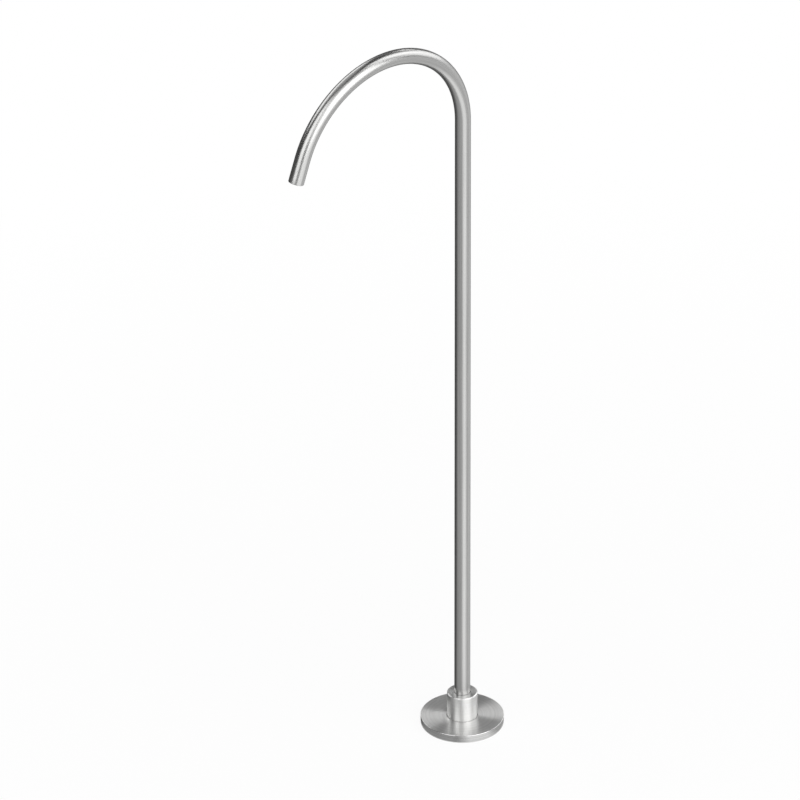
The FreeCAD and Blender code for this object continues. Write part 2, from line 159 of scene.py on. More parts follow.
def place_camera():
    back = heading(0, view_elevation)
    right = heading(math.pi / 2)
    up = back.cross(right)
    centre = right * picture_centre_right + up * picture_centre_up + back * picture_centre_back
    distance = picture_width / 2 / math.tan(half_view_angle)
    lens = bpy.data.cameras.new("camera")
    lens.sensor_width = 36
    lens.lens = lens.sensor_width / 2 / math.tan(half_view_angle)
    lens.clip_start = distance / 2
    lens.clip_end = distance * 2
    camera = bpy.data.objects.new("camera", lens)
    camera.location = centre + back * distance
    camera.rotation_mode = "QUATERNION"
    camera.rotation_quaternion = (-back).to_track_quat("-Z", "Y")
    bpy.context.scene.collection.objects.link(camera)
    bpy.context.scene.camera = camera


# Studio: a white surround and floor with soft lamps above, which light whatever spreads light, and
# glowing white boards, dark cloth and floor paper that only the metal sees, as a photographer sets them up
# to draw light and dark edges on bright steel. The floor paper's glow holds painted light and painted shade.

def seen_directly(tree):
    """1 for what the camera, a reflection or a view through glass meets, and 0 for light that spreads."""
    ray = add(tree, "ShaderNodeLightPath").outputs
    camera_or_gloss = add(tree, "ShaderNodeMath", {0: ray["Is Camera Ray"], 1: ray["Is Glossy Ray"]},
                          operation="MAXIMUM")
    seen = add(tree, "ShaderNodeMath", {0: camera_or_gloss.outputs[0], 1: ray["Is Transmission Ray"]},
               operation="MAXIMUM")
    return seen.outputs[0]


def make_surround():
    """White all round to look at, and a weak fill for what spreads light."""
    fill_level = 0.3
    world = bpy.data.worlds.new("white_surround")
    bpy.context.scene.world = world
    world.use_nodes = True
    world.cycles.sampling_method = "NONE"
    tree = world.node_tree
    tree.nodes.clear()
    level = add(tree, "ShaderNodeMapRange", {"Value": seen_directly(tree), "To Min": fill_level,
                                             "To Max": 1.0})
    white = add(tree, "ShaderNodeBackground", {"Color": (1, 1, 1, 1), "Strength": level.outputs[0]})
    add(tree, "ShaderNodeOutputWorld", {"Surface": white.outputs[0]})


def annulus(name, inner_r, outer_r, height, segments=96):
    """Flat ring that faces up."""
    mesh = bpy.data.meshes.new(name)
    angles = [math.tau * k / segments for k in range(segments)]
    points = [(r * math.cos(a), r * math.sin(a), height) for r in (inner_r, outer_r) for a in angles]
    faces = []
    for k in range(segments):
        after = (k + 1) % segments
        faces.append((k, segments + k, segments + after, after))
    mesh.from_pydata(points, [], faces)
    return mesh


def make_floor():
    """White floor that keeps the shadow. It is open under the cover plate and clear from below."""
    floor_r = 12.0
    under_cover = 0.5 * MM
    # Near the spout this share of the floor's white is left to the lamps and their shadow. It fades
    # out with distance, so that no horizon shows.
    kept_shadow = 0.1
    fade_start, fade_end = 0.3, 1.5
    material, tree = new_material("white_floor")
    place = add(tree, "ShaderNodeTexCoord")
    reach = add(tree, "ShaderNodeVectorMath", {0: place.outputs["Object"]}, operation="LENGTH")
    white_share = add(tree, "ShaderNodeMapRange", {"Value": reach.outputs["Value"], "From Min": fade_start,
                                                   "From Max": fade_end, "To Min": 1 - kept_shadow,
                                                   "To Max": 1.0})
    whiteness = add(tree, "ShaderNodeMath", {0: seen_directly(tree), 1: white_share.outputs[0]},
                    operation="MULTIPLY")
    lit = add(tree, "ShaderNodeBsdfDiffuse", {"Color": linear("#EDEDED")})
    white = add(tree, "ShaderNodeEmission", {"Color": (1, 1, 1, 1), "Strength": 1.0})
    top = add(tree, "ShaderNodeMixShader", {0: whiteness.outputs[0], 1: lit.outputs[0], 2: white.outputs[0]})
    clear = add(tree, "ShaderNodeBsdfTransparent")
    side = add(tree, "ShaderNodeNewGeometry")
    both = add(tree, "ShaderNodeMixShader", {0: side.outputs["Backfacing"], 1: top.outputs[0],
                                             2: clear.outputs[0]})
    add(tree, "ShaderNodeOutputMaterial", {"Surface": both.outputs[0]})
    material.cycles.emission_sampling = "NONE"
    floor = new_object("floor", annulus("floor", cover_r - under_cover, floor_r, 0), material)


def only_in_reflections(thing):
    """Leaves a studio piece to the metal: the camera, shadows and spread light pass it."""
    thing.visible_camera = False
    thing.visible_diffuse = False
    thing.visible_transmission = False
    thing.visible_volume_scatter = False
    thing.visible_shadow = False


def make_floor_paper():
    """Glowing grey paper on the floor with painted light: dark behind and at the left, and a painted pool of
    the key board's light at the right front.
    """
    # Painted light: greys by the angle to the right of the camera's heading, in degrees, brightest where the
    # key board's light is painted
    painted_light_greys = [(-180, 0.07), (-96, 0.07), (-70, 0.34), (-8, 0.38), (12, 0.95), (42, 0.95), (64, 0.47),
             (90, 0.48), (114, 0.62), (130, 0.5), (155, 0.18), (180, 0.07)]
    brightest = 1.48
    # Close to the cover plate the paper's glow is dimmed: a painted shade of the cover plate
    painted_shade_share = 0.55
    painted_shade_start, painted_shade_end = 0.075, 0.11
    paper_r = 24.0
    clear_of_cover = 1 * MM
    paper_height = 0.5 * MM
    material, tree = new_material("floor_paper_painted_light")
    place = add(tree, "ShaderNodeTexCoord")
    turned = add(tree, "ShaderNodeMapping", {"Vector": place.outputs["Object"],
                                             "Rotation": (0, 0, math.pi / 2 - view_azimuth)})
    angle = add(tree, "ShaderNodeTexGradient", {"Vector": turned.outputs[0]}, gradient_type="RADIAL")
    ramp = add(tree, "ShaderNodeValToRGB", {"Fac": angle.outputs["Fac"]})
    stops = ramp.color_ramp.elements
    for index, (degrees, grey) in enumerate(painted_light_greys):
        if index >= len(stops):
            stops.new(1.0)
        stops[index].position = 0.5 + degrees / 360
        stops[index].color = (grey, grey, grey, 1)
    reach = add(tree, "ShaderNodeVectorMath", {0: place.outputs["Object"]}, operation="LENGTH")
    shade = add(tree, "ShaderNodeMapRange", {"Value": reach.outputs["Value"], "From Min": painted_shade_start,
                                             "From Max": painted_shade_end, "To Min": brightest * painted_shade_share,
                                             "To Max": brightest})
    # The paper glows with painted light and painted shade, and no lamp lights it
    glow = add(tree, "ShaderNodeEmission", {"Color": ramp.outputs[0], "Strength": shade.outputs[0]})
    add(tree, "ShaderNodeOutputMaterial", {"Surface": glow.outputs[0]})
    material.cycles.emission_sampling = "NONE"
    sheet = annulus("floor_paper", cover_r + clear_of_cover, paper_r, paper_height)
    only_in_reflections(new_object("floor_paper", sheet, material))


def make_board(name, azimuths, elevations, brightness, distance=20.0, steps=4):
    """White board or dark cloth bent round the spout between angles in degrees. Brightness 1 is white."""
    # A dimmer board than this isn't worth sampling as a lamp: the metal's own reflections find it
    dimmest_sampled = 0.6
    middle = Vector((0, 0, 0.6))
    points = []
    for i in range(steps + 1):
        azimuth = math.radians(azimuths[0] + (azimuths[1] - azimuths[0]) * i / steps)
        for k in range(steps + 1):
            elevation = math.radians(elevations[0] + (elevations[1] - elevations[0]) * k / steps)
            points.append(middle + heading(azimuth, elevation) * distance)
    row = steps + 1
    faces = [(i * row + k, i * row + k + 1, (i + 1) * row + k + 1, (i + 1) * row + k)
             for i in range(steps) for k in range(steps)]
    mesh = bpy.data.meshes.new(name)
    mesh.from_pydata(points, [], faces)
    material, tree = new_material(name)
    glow = add(tree, "ShaderNodeEmission", {"Color": (1, 1, 1, 1), "Strength": brightness})
    add(tree, "ShaderNodeOutputMaterial", {"Surface": glow.outputs[0]})
    material.cycles.emission_sampling = "NONE" if brightness < dimmest_sampled else "AUTO"
    only_in_reflections(new_object(name, mesh, material))


def make_lamp(name, azimuth, elevation, width, height, brightness):
    """Soft lamp for what spreads light. Its place and size are angles in degrees. Brightness 1 is white."""
    distance = 4.0
    target = Vector((0, -bend_r / 2, 0.55))
    away = heading(math.radians(azimuth), math.radians(elevation))
    lamp = bpy.data.lights.new(name, "AREA")
    lamp.shape = "RECTANGLE"
    lamp.size = 2 * distance * math.tan(math.radians(width / 2))
    lamp.size_y = 2 * distance * math.tan(math.radians(height / 2))
    lamp.energy = math.pi * brightness * lamp.size * lamp.size_y
    placed = bpy.data.objects.new(name, lamp)
    placed.location = target + away * distance
    placed.rotation_mode = "QUATERNION"
    placed.rotation_quaternion = away.to_track_quat("Z", "Y")
    placed.visible_glossy = False
    bpy.context.scene.collection.objects.link(placed)


def make_studio():
    make_surround()
    make_floor()
    make_floor_paper()
    make_lamp("key_lamp", 38, 34, 70, 70, 1.8)
    make_lamp("left_lamp", -52, 34, 40, 66, 1.4)
    make_lamp("back_lamp", 170, 40, 60, 50, 1.0)
    # Before the spout, beside it and above it
    make_board("key_board", (9, 77), (-4, 58), 2.5)
    make_board("left_board", (-60, -20), (-4, 62), 2.05)
    make_board("gap_board", (-20, 9), (14, 62), 0.8)
    make_board("side_board", (88, 98), (8, 62), 1.4)
    make_board("top_scrim", (-60, 98), (62, 77), 0.65)
    # Behind it, where the cover plate's face and the arch's far side look
    make_board("right_scrim", (98, 132), (26, 73), 2.2)
    make_board("back_right_board", (98, 148), (-1, 26), 1.9)
    make_board("far_right_board", (150, 167), (19, 31), 2.4)
    make_board("back_board", (171, 187), (24, 37), 0.3)
    make_board("back_left_board", (-168, -100), (16, 42), 1.85)
    make_board("upper_left_board", (-168, -100), (42, 82), 0.55)
    # Dark cloth behind all the boards. It goes right round, so it has more steps.
    make_board("dark_surround", (-180, 180), (-4, 90), 0.04, distance=22.0, steps=12)


# Patterns, drawn in millimetres

def in_millimetres(tree, outlet=None):
    """A piece's own coordinates in millimetres, or measured from the outlet's place and turn."""
    place = add(tree, "ShaderNodeTexCoord")
    if not outlet:
        return add(tree, "ShaderNodeMapping", {"Vector": place.outputs["Object"],
                                               "Scale": (1 / MM, 1 / MM, 1 / MM)}).outputs[0]
    location, rotation = outlet
    moved = add(tree, "ShaderNodeMapping", {"Vector": place.outputs["Object"], "Location": location,
                                            "Rotation": rotation, "Scale": (MM, MM, MM)},
                vector_type="TEXTURE")
    return moved.outputs[0]


def lathe_marks(tree, place, width, length, detail=2.0):
    """Noise drawn out round the Z axis: a width across the tool marks and a length along them, in mm."""
    # Marks lengthen with their distance from the axis, and have the given length at this one
    middle_r = 20.0
    height = add(tree, "ShaderNodeSeparateXYZ", {0: place}).outputs["Z"]
    flat = add(tree, "ShaderNodeVectorMath", {0: place, 1: (1, 1, 0)}, operation="MULTIPLY").outputs[0]
    radius = add(tree, "ShaderNodeVectorMath", {0: flat}, operation="LENGTH").outputs["Value"]
    unit = add(tree, "ShaderNodeVectorMath", {0: flat}, operation="NORMALIZE").outputs[0]
    side = add(tree, "ShaderNodeSeparateXYZ", {0: unit})
    reach = middle_r / length
    across = add(tree, "ShaderNodeMath", {0: radius, 1: 1 / width}, operation="MULTIPLY").outputs[0]
    upward = add(tree, "ShaderNodeMath", {0: height, 1: 1 / width}, operation="MULTIPLY").outputs[0]
    forward = add(tree, "ShaderNodeMath", {0: side.outputs["X"], 1: reach}, operation="MULTIPLY").outputs[0]
    sideways = add(tree, "ShaderNodeMath", {0: side.outputs["Y"], 1: reach}, operation="MULTIPLY").outputs[0]
    point = add(tree, "ShaderNodeCombineXYZ", {0: across, 1: upward, 2: forward}).outputs[0]
    return add(tree, "ShaderNodeTexNoise", {"Vector": point, "W": sideways, "Scale": 1.0, "Detail": detail},
               noise_dimensions="4D").outputs["Fac"]


def drawn_out(tree, place, sizes, detail=2.0):
    """Noise whose grains have sizes in mm along X, Y and Z."""
    scaled = add(tree, "ShaderNodeMapping", {"Vector": place, "Scale": [1 / size for size in sizes]})
    return add(tree, "ShaderNodeTexNoise", {"Vector": scaled.outputs[0], "Scale": 1.0,
                                            "Detail": detail}).outputs["Fac"]


def surface(name, make_pattern, dark, light, metallic, smoothest, roughest, relief, **fixed):
    """A material whose colour, roughness and fine relief, in mm, follow one pattern."""
    # Noise seldom leaves this range, which is spread over the colours and the roughness
    usual_low, usual_high = 0.3, 0.7
    material, tree = new_material(name)
    pattern = make_pattern(tree)
    spread = add(tree, "ShaderNodeMapRange", {"Value": pattern, "From Min": usual_low,
                                              "From Max": usual_high}).outputs[0]
    colour = add(tree, "ShaderNodeMix", {"Factor": spread, "A": linear(dark), "B": linear(light)},
                 data_type="RGBA")
    rough = add(tree, "ShaderNodeMapRange", {"Value": spread, "To Min": smoothest, "To Max": roughest})
    bump = add(tree, "ShaderNodeBump", {"Height": pattern, "Strength": 1.0, "Distance": relief * MM})
    shader = add(tree, "ShaderNodeBsdfPrincipled", {"Base Color": colour.outputs["Result"],
                                                    "Metallic": metallic, "Roughness": rough.outputs[0],
                                                    "Normal": bump.outputs[0], **fixed})
    add(tree, "ShaderNodeOutputMaterial", {"Surface": shader.outputs[0]})
    return material


# Finishes

def brushed_tube_steel():
    """Drawn stainless steel tube, brushed lengthwise with a fine belt. To the eye it is a soft grey
    mirror with long faint lines."""
    # Belt lines are about 0.05 mm apart, too fine to show, so they are drawn 0.45 mm wide
    belt_line = (0.45, 0.45, 110)
    # The belt's uneven pressure changes slowly round the tube and along it
    uneven_patch = (3, 3, 400)
    uneven_share = 0.4

    def pattern(tree):
        place = add(tree, "ShaderNodeAttribute", attribute_name="straight_place").outputs["Vector"]
        fine = drawn_out(tree, place, belt_line)
        wide = drawn_out(tree, place, uneven_patch)
        return add(tree, "ShaderNodeMix", {"Factor": uneven_share, "A": fine, "B": wide}).outputs["Result"]

    return surface("stainless_steel_tube_brushed", pattern, "#AAAAA9", "#C5C5C4", metallic=1.0,
                   smoothest=0.27, roughest=0.32, relief=0.005)


def turned_steel(name, dark, light, roughness, anisotropy, width, length, relief, measure, limit, polished):
    """Stainless steel faced on a lathe. To the eye its fine rings draw each reflection out across
    them, into wedges on a flat face. Beyond a limit along the measured axes the cut is finer."""
    unevenness = 0.04
    # The tangent runs along the rings, and a quarter turn sets the blur across them
    quarter_turn = 0.25

    def pattern(tree):
        return lathe_marks(tree, in_millimetres(tree), width, length)

    material = surface(name, pattern, dark, light, 1.0, roughness * (1 - unevenness),
                       roughness * (1 + unevenness), relief,
                       **{"Anisotropic": anisotropy, "Anisotropic Rotation": quarter_turn})
    tree = material.node_tree
    shader = next(node for node in tree.nodes if node.type == "BSDF_PRINCIPLED")
    along = add(tree, "ShaderNodeTangent", direction_type="RADIAL", axis="Z")
    tree.links.new(along.outputs[0], shader.inputs["Tangent"])
    place = add(tree, "ShaderNodeTexCoord")
    part = add(tree, "ShaderNodeVectorMath", {0: place.outputs["Object"], 1: measure}, operation="MULTIPLY")
    reach = add(tree, "ShaderNodeVectorMath", {0: part.outputs[0]}, operation="LENGTH")
    beyond = add(tree, "ShaderNodeMath", {0: reach.outputs["Value"], 1: limit}, operation="GREATER_THAN")
    coarse = shader.inputs["Roughness"].links[0].from_socket
    rough = add(tree, "ShaderNodeMix", {"Factor": beyond.outputs[0], "A": coarse, "B": polished})
    tree.links.new(rough.outputs["Result"], shader.inputs["Roughness"])
    return material


def collar_steel():
    """The sleeve's side is turned, and its top face has a finer cut that mirrors more clearly. A lathe
    cuts rings about 0.1 mm wide, which are drawn 0.9 mm wide to show."""
    just_below = 0.1 * MM
    return turned_steel("stainless_steel_turned_sleeve", "#D6D6D5", "#DEDEDD", roughness=0.42,
                        anisotropy=0.6, width=0.9, length=60, relief=0.002, measure=(0, 0, 1),
                        limit=collar_top_z - just_below, polished=0.34)


def cover_steel():
    """The plate's face is turned, and its side is polished to a clearer mirror. A lathe cuts rings
    about 0.2 mm wide, which are drawn 2.2 mm wide to show."""
    just_inside = 0.2 * MM
    return turned_steel("stainless_steel_turned_face", "#D7D7D6", "#E7E7E6", roughness=0.34,
                        anisotropy=0.9, width=2.2, length=120, relief=0.012, measure=(1, 1, 0),
                        limit=cover_r - just_inside, polished=0.2)


def grained(name, dark, light, metallic, smoothest, roughest, relief, grain):
    """A material with a grain of sizes in mm along X, Y and Z."""
    def pattern(tree):
        return drawn_out(tree, in_millimetres(tree), grain, detail=3.0)

    return surface(name, pattern, dark, light, metallic, smoothest, roughest, relief)


def ringed(name, dark, light, metallic, smoothest, roughest, relief, width, length, outlet=None):
    """A turned material with rings of a width and a length in mm, round Z or round the outlet."""
    def pattern(tree):
        return lathe_marks(tree, in_millimetres(tree, outlet), width, length)

    return surface(name, pattern, dark, light, metallic, smoothest, roughest, relief)


def turned_brass(name, outlet=None):
    """Brass bar, turned: a warm yellow mirror with rings. A cut of about 0.1 mm is drawn 0.35 mm wide."""
    return ringed(name, "#C9A866", "#D9BC7E", metallic=1.0, smoothest=0.22, roughest=0.34,
                  relief=0.004, width=0.35, length=25, outlet=outlet)


def dress_nodes():
    """Gives each CAD node the finish of its slot, and returns the finishes."""
    finishes = {
        "tube_steel": brushed_tube_steel(),
        "collar_steel": collar_steel(),
        "cover_steel": cover_steel(),
        # Ground one way: satin, with straight lines. Grit lines of about 0.05 mm are drawn 0.5 mm wide.
        "plate_steel": grained("stainless_steel_plate_ground", "#9D9D9A", "#B4B4B0", metallic=1.0,
                               smoothest=0.36, roughest=0.46, relief=0.006, grain=(40, 0.5, 40)),
        # Pressed cold in a smooth tool: fairly bright, with soft blotches
        "screw_steel": grained("stainless_steel_cold_formed", "#A5A5A3", "#B9B9B6", metallic=1.0,
                               smoothest=0.24, roughest=0.34, relief=0.002, grain=(0.8, 0.8, 0.8)),
        # Coated with phosphate crystals of about 0.01 mm, drawn 0.3 mm wide: dark, matt and grainy
        "spring_steel": grained("spring_steel_phosphated", "#45464A", "#5A5B5E", metallic=0.8,
                                smoothest=0.45, roughest=0.6, relief=0.004, grain=(0.3, 0.3, 0.3)),
        # Drawn wire and pressed sheet: bright, and a little uneven
        "sieve_steel": grained("stainless_steel_wire_and_sheet", "#B9B9B5", "#C9C9C5", metallic=1.0,
                               smoothest=0.22, roughest=0.32, relief=0.002, grain=(0.5, 0.5, 0.5)),
        "body_brass": turned_brass("brass_bar_turned"),
        # Moulded in a fine blasted tool, whose grain is drawn 0.25 mm wide: nearly black, a dull sheen
        "seal_rubber": grained("epdm_rubber_moulded", "#161617", "#232324", metallic=0.0,
                               smoothest=0.52, roughest=0.66, relief=0.006, grain=(0.25, 0.25, 0.25)),
        # Turned from bar, with a cut of about 0.1 mm drawn 0.3 mm wide: milky white, waxy, faint rings
        "bearing_plastic": ringed("acetal_bar_turned", "#E2E1DB", "#EAE9E4", metallic=0.0, smoothest=0.32,
                                  roughest=0.42, relief=0.004, width=0.3, length=25),
        # Moulded in a smooth tool: pale grey and satin, almost even
        "aerator_plastic": grained("acetal_injection_moulded", "#B9BBBC", "#C6C8C9", metallic=0.0,
                                   smoothest=0.34, roughest=0.44, relief=0.003, grain=(0.4, 0.4, 0.4)),
    }
    # The outlet's sleeve is turned about its own slanting axis
    slant = (-outflow).to_track_quat("Z", "Y").to_euler()
    outlet_brass = turned_brass("brass_sleeve_turned", (tuple(mouth), tuple(slant)))
    for row in frame["record"]["subparts"]:
        node = nodes[row["node"]]
        finish = outlet_brass if row["node"] == "outlet_sleeve" else finishes[row["material_slot"]]
        node.data.materials.clear()
        node.data.materials.append(finish)
    return finishes


# Pieces

def path_point(s):
    """Point and direction of the tube's centre line at a distance from its foot."""
    rise = bend_start_z - tube_foot_z
    arch = bend_r * bend_angle
    if s <= rise:
        return Vector((0, 0, tube_foot_z + s)), Vector((0, 0, 1))
    if s < rise + arch:
        turn = (s - rise) / bend_r
        middle = Vector((0, -bend_r * (1 - math.cos(turn)), bend_start_z + bend_r * math.sin(turn)))
        return middle, Vector((0, -math.sin(turn), math.cos(turn)))
    return bend_end + outflow * (s - rise - arch), outflow


def make_tube(material):
    """The bent tube in fine rings, each point with its place on the tube before it was bent, in mm."""
    sides = 96
    rise_steps = 24
    bend_steps = 120
    leg_steps = 4
    round_steps = 5
    # One ring close to the foot keeps the square end's shading off the wall
    foot_ring = 0.5 * MM
    rise = bend_start_z - tube_foot_z
    arch = bend_r * bend_angle
    length = rise + arch + leg_length
    stations = [0, foot_ring] + [rise * k / rise_steps for k in range(1, rise_steps)]
    stations += [rise + arch * k / bend_steps for k in range(bend_steps + 1)]
    stations += [length - leg_length * k / leg_steps for k in range(leg_steps - 1, 0, -1)]
    lips = [math.pi / 2 * k / round_steps for k in range(round_steps + 1)]
    # Radius and distance from the foot: up the outside, round the mouth's two edges and down the bore
    outline = [(tube_r, s) for s in stations]
    outline += [(tube_r - mouth_round * (1 - math.cos(t)), length - mouth_round * (1 - math.sin(t)))
                for t in lips]
    outline += [(tube_bore_r + mouth_inner_round * (1 - math.sin(t)),
                 length - mouth_inner_round * (1 - math.cos(t))) for t in lips]
    outline += [(tube_bore_r, s) for s in reversed(stations)]
    points = []
    straight = []
    across = Vector((1, 0, 0))
    for radius, s in outline:
        middle, along = path_point(s)
        up = along.cross(across)
        for k in range(sides):
            angle = math.tau * k / sides
            points.append(middle + (across * math.cos(angle) + up * math.sin(angle)) * radius)
            straight += [radius * math.cos(angle) / MM, radius * math.sin(angle) / MM, s / MM]
    faces = []
    rings = len(outline)
    for i in range(rings):
        for k in range(sides):
            here, beside = i * sides + k, i * sides + (k + 1) % sides
            on = (i + 1) % rings * sides - i * sides
            faces.append((here, beside, beside + on, here + on))
    mesh = bpy.data.meshes.new("brushed_tube")
    mesh.from_pydata(points, [], faces)
    mesh.attributes.new("straight_place", "FLOAT_VECTOR", "POINT").data.foreach_set("vector", straight)
    smooth(mesh)
    piece = new_object("brushed_tube", mesh, material)
    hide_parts("spout_tube")
    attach(piece, "spout")


def made_by_nodes(name, tree, values):
    """Plain mesh of what a geometry tree makes from named values."""
    maker = new_object(name + "_maker", bpy.data.meshes.new(name + "_maker"))
    modifier = maker.modifiers.new("make", "NODES")
    modifier.node_group = tree
    for socket in tree.interface.items_tree:
        if socket.name in values:
            modifier[socket.identifier] = values[socket.name]
    evaluated = maker.evaluated_get(bpy.context.evaluated_depsgraph_get())
    mesh = bpy.data.meshes.new_from_object(evaluated)
    maker.modifiers.remove(modifier)
    bpy.data.objects.remove(maker)
    mesh.name = name
    return mesh


def geometry_tree(name, inputs):
    """Geometry tree with named inputs and a mesh output."""
    tree = bpy.data.node_groups.new(name, "GeometryNodeTree")
    for title, kind in inputs.items():
        tree.interface.new_socket(title, in_out="INPUT", socket_type=kind)
    tree.interface.new_socket("Mesh", in_out="OUTPUT", socket_type="NodeSocketGeometry")
    return tree, add(tree, "NodeGroupInput").outputs


def woven_tree():
    """Round piece of plain weave about Z: waves of wire both ways, each over one and under the next."""
    tree, given = geometry_tree("plain_weave", {"Radius": "NodeSocketFloat", "Pitch": "NodeSocketFloat",
                                                "Wire": "NodeSocketFloat", "Finish": "NodeSocketMaterial"})
    # Straight wires along X, one pitch apart, an odd number of them with one in the middle
    across = add(tree, "ShaderNodeMath", {0: given["Radius"], 1: given["Pitch"]}, operation="DIVIDE")
    half_count = add(tree, "ShaderNodeMath", {0: across.outputs[0]}, operation="FLOOR")
    count = add(tree, "ShaderNodeMath", {0: half_count.outputs[0], 1: 2.0, 2: 1.0}, operation="MULTIPLY_ADD")
    edge = add(tree, "ShaderNodeMath", {0: half_count.outputs[0], 1: given["Pitch"]}, operation="MULTIPLY")
    low = add(tree, "ShaderNodeMath", {0: edge.outputs[0], 1: -1.0}, operation="MULTIPLY")
    first = add(tree, "ShaderNodeCombineXYZ", {1: low.outputs[0]})
    step = add(tree, "ShaderNodeCombineXYZ", {1: given["Pitch"]})
    rows = add(tree, "GeometryNodeMeshLine", {"Count": count.outputs[0], "Start Location": first.outputs[0],
                                              "Offset": step.outputs[0]})
    wire_start = add(tree, "ShaderNodeCombineXYZ", {0: low.outputs[0]})
    wire_end = add(tree, "ShaderNodeCombineXYZ", {0: edge.outputs[0]})
    wire = add(tree, "GeometryNodeCurvePrimitiveLine", {"Start": wire_start.outputs[0],
                                                        "End": wire_end.outputs[0]})
    # Two points for each crossing
    points = add(tree, "ShaderNodeMath", {0: half_count.outputs[0], 1: 4.0, 2: 1.0},
                 operation="MULTIPLY_ADD")
    bent = add(tree, "GeometryNodeResampleCurve", {"Curve": wire.outputs[0], "Count": points.outputs[0]})
    copies = add(tree, "GeometryNodeInstanceOnPoints", {"Points": rows.outputs[0],
                                                        "Instance": bent.outputs[0]})
    wires = add(tree, "GeometryNodeRealizeInstances", {0: copies.outputs[0]})
    # Each wire rises and falls by half a wire, and its neighbour the other way
    place = add(tree, "GeometryNodeInputPosition")
    turns = add(tree, "ShaderNodeMath", {0: math.pi, 1: given["Pitch"]}, operation="DIVIDE")
    phase = add(tree, "ShaderNodeVectorMath", {0: place.outputs[0], "Scale": turns.outputs[0]},
                operation="SCALE")
    parts = add(tree, "ShaderNodeSeparateXYZ", {0: phase.outputs[0]})
    wave_x = add(tree, "ShaderNodeMath", {0: parts.outputs["X"]}, operation="COSINE")
    wave_y = add(tree, "ShaderNodeMath", {0: parts.outputs["Y"]}, operation="COSINE")
    wave = add(tree, "ShaderNodeMath", {0: wave_x.outputs[0], 1: wave_y.outputs[0]}, operation="MULTIPLY")
    half_wire = add(tree, "ShaderNodeMath", {0: given["Wire"], 1: 0.5}, operation="MULTIPLY")
    lift = add(tree, "ShaderNodeMath", {0: wave.outputs[0], 1: half_wire.outputs[0]}, operation="MULTIPLY")
    raised = add(tree, "ShaderNodeCombineXYZ", {2: lift.outputs[0]})
    woven = add(tree, "GeometryNodeSetPosition", {"Geometry": wires.outputs[0], "Offset": raised.outputs[0]})
    # Cut round, and made solid with four sides to a wire, because there are many
    reach = add(tree, "ShaderNodeVectorMath", {0: place.outputs[0]}, operation="LENGTH")
    outside = add(tree, "FunctionNodeCompare", {0: reach.outputs["Value"], 1: given["Radius"]},
                  operation="GREATER_THAN")
    cut = add(tree, "GeometryNodeDeleteGeometry", {"Geometry": woven.outputs[0],
                                                   "Selection": outside.outputs[0]})
    section = add(tree, "GeometryNodeCurvePrimitiveCircle", {"Resolution": 4,
                                                             "Radius": half_wire.outputs[0]})
    solid = add(tree, "GeometryNodeCurveToMesh", {"Curve": cut.outputs[0],
                                                  "Profile Curve": section.outputs[0], "Fill Caps": True})
    # The same wires turned over and a quarter round pass over where the first ones pass under
    turned = add(tree, "GeometryNodeTransform", {"Geometry": solid.outputs[0],
                                                 "Rotation": (math.pi, 0, math.pi / 2)})
    both = add(tree, "GeometryNodeJoinGeometry")
    tree.links.new(solid.outputs[0], both.inputs[0])
    tree.links.new(turned.outputs[0], both.inputs[0])
    plain_mesh = add(tree, "GeometryNodeRealizeInstances", {0: both.outputs[0]})
    dressed = add(tree, "GeometryNodeSetMaterial", {"Geometry": plain_mesh.outputs[0],
                                                    "Material": given["Finish"]})
    add(tree, "NodeGroupOutput", {0: dressed.outputs[0]})
    return tree


def ring_mesh(name, inner_r, outer_r, low, high, sides=64):
    """Flat ring about Z with a square section, closed."""
    outline = [(outer_r, low), (outer_r, high), (inner_r, high), (inner_r, low)]
    points = [(r * math.cos(math.tau * k / sides), r * math.sin(math.tau * k / sides), z)
              for r, z in outline for k in range(sides)]
    faces = []
    for i in range(len(outline)):
        for k in range(sides):
            beside = (k + 1) % sides
            above = (i + 1) % len(outline) * sides
            faces.append((i * sides + k, i * sides + beside, above + beside, above + k))
    mesh = bpy.data.meshes.new(name)
    mesh.from_pydata(points, [], faces)
    smooth(mesh)
    return mesh


def make_screens(material):
    """Two woven screens in the outlet, each with a pressed rim, the second turned by half a right angle."""
    screen_count = 2
    wire = screen_thickness / 2
    half_rim = 0.45 * screen_thickness
    weave = woven_tree()
    shape = bmesh.new()
    for layer in range(screen_count):
        middle = screens_depth + (layer + 0.5) * screen_thickness
        cloth = made_by_nodes("weave", weave, {"Radius": screens_r - screen_rim_width / 2,
                                               "Pitch": screen_pitch, "Wire": wire, "Finish": material})
        cloth.transform(Matrix.Translation((0, 0, middle)) @ Matrix.Rotation(math.pi / 4 * layer, 4, "Z"))
        shape.from_mesh(cloth)
        rim = ring_mesh("rim", screens_r - screen_rim_width, screens_r, middle - half_rim, middle + half_rim)
        shape.from_mesh(rim)
    mesh = bpy.data.meshes.new("woven_screens")
    shape.to_mesh(mesh)
    shape.free()
    mesh.transform(Matrix.Translation(mouth) @ (-outflow).to_track_quat("Z", "Y").to_matrix().to_4x4())
    smooth(mesh, sharp_above=60)
    piece = new_object("woven_screens", mesh, material)
    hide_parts("aerator_screens")
    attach(piece, "spout")


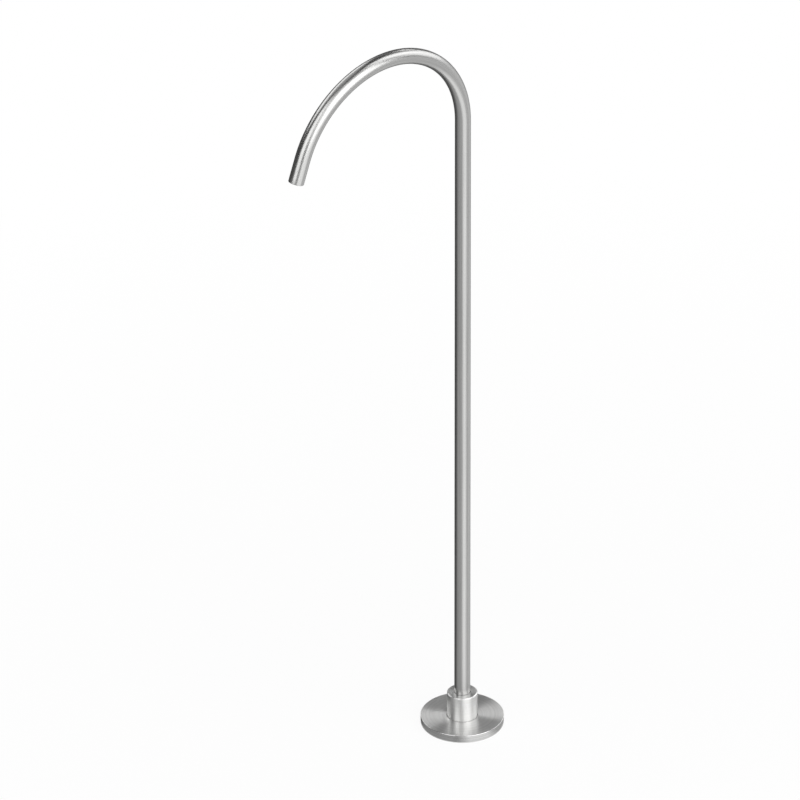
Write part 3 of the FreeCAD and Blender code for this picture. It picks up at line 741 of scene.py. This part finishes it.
def thread_tree():
    """Helical ridge about Z that stands in from a bore: broad at its root and narrow at its crest."""
    steps_a_turn = 72
    # Half widths in shares of the pitch, and how far the root is sunk in the wall in shares of the depth
    half_root, half_crest, sunk = 0.46, 0.14, 0.1
    tree, given = geometry_tree("inner_thread", {"Root Radius": "NodeSocketFloat",
                                                 "Depth": "NodeSocketFloat", "Pitch": "NodeSocketFloat",
                                                 "Turns": "NodeSocketFloat", "Finish": "NodeSocketMaterial"})
    rise = add(tree, "ShaderNodeMath", {0: given["Pitch"], 1: given["Turns"]}, operation="MULTIPLY")
    helix = add(tree, "GeometryNodeCurveSpiral", {"Resolution": steps_a_turn, "Rotations": given["Turns"],
                                                  "Start Radius": given["Root Radius"],
                                                  "End Radius": given["Root Radius"],
                                                  "Height": rise.outputs[0]})
    level = add(tree, "GeometryNodeSetCurveNormal", {"Curve": helix.outputs[0]}, mode="Z_UP")
    corners = []
    for across, inward in ((-half_root, -sunk), (half_root, -sunk), (half_crest, 1.0), (-half_crest, 1.0)):
        width = add(tree, "ShaderNodeMath", {0: given["Pitch"], 1: across}, operation="MULTIPLY")
        depth = add(tree, "ShaderNodeMath", {0: given["Depth"], 1: inward}, operation="MULTIPLY")
        corner = add(tree, "ShaderNodeCombineXYZ", {0: depth.outputs[0], 1: width.outputs[0]})
        corners.append(corner.outputs[0])
    section = add(tree, "GeometryNodeCurvePrimitiveQuadrilateral", mode="POINTS")
    for index, corner in enumerate(corners):
        tree.links.new(corner, section.inputs["Point %d" % (index + 1)])
    ridge = add(tree, "GeometryNodeCurveToMesh", {"Curve": level.outputs[0],
                                                  "Profile Curve": section.outputs[0], "Fill Caps": True})
    plain_mesh = add(tree, "GeometryNodeRealizeInstances", {0: ridge.outputs[0]})
    dressed = add(tree, "GeometryNodeSetMaterial", {"Geometry": plain_mesh.outputs[0],
                                                    "Material": given["Finish"]})
    add(tree, "NodeGroupOutput", {0: dressed.outputs[0]})
    return tree


def make_barrel(material):
    """The brass barrel with its pipe thread cut: the bore opened to the root, and a helical ridge."""
    weld = 0.002 * MM
    near = 0.05 * MM
    # The ridge keeps this far from the lead-in and from the washer: half its root, and a little air
    clear_of_ends = thread_pitch * 0.55
    shape = bmesh.new()
    shape.from_mesh(nodes["swivel_barrel"].data)
    bmesh.ops.remove_doubles(shape, verts=shape.verts, dist=weld)
    mouth_r = thread_core_r + thread_lead_in
    for vertex in shape.verts:
        radius = math.hypot(vertex.co.x, vertex.co.y)
        on_bore = abs(radius - thread_core_r) < near and vertex.co.z < thread_top_z + near
        on_mouth = abs(radius - mouth_r) < near and vertex.co.z < near
        if on_bore or on_mouth:
            wider = thread_root_r if on_bore else thread_root_r + thread_lead_in
            vertex.co.x *= wider / radius
            vertex.co.y *= wider / radius
    bmesh.ops.dissolve_degenerate(shape, dist=weld, edges=shape.edges)
    first_z = thread_lead_in + clear_of_ends
    turns = (thread_top_z - clear_of_ends - first_z) / thread_pitch
    ridge = made_by_nodes("ridge", thread_tree(), {"Root Radius": thread_root_r, "Depth": thread_depth,
                                                   "Pitch": thread_pitch, "Turns": turns,
                                                   "Finish": material})
    ridge.transform(Matrix.Translation((0, 0, first_z)))
    shape.from_mesh(ridge)
    mesh = bpy.data.meshes.new("threaded_barrel")
    shape.to_mesh(mesh)
    shape.free()
    smooth(mesh, sharp_above=35)
    piece = new_object("threaded_barrel", mesh, material)
    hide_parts("swivel_barrel")
    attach(piece, "base")


bpy.context.scene.view_settings.view_transform = "Standard"
place_camera()
make_studio()
finishes = dress_nodes()
make_tube(finishes["tube_steel"])
make_barrel(finishes["body_brass"])
make_screens(finishes["sieve_steel"])
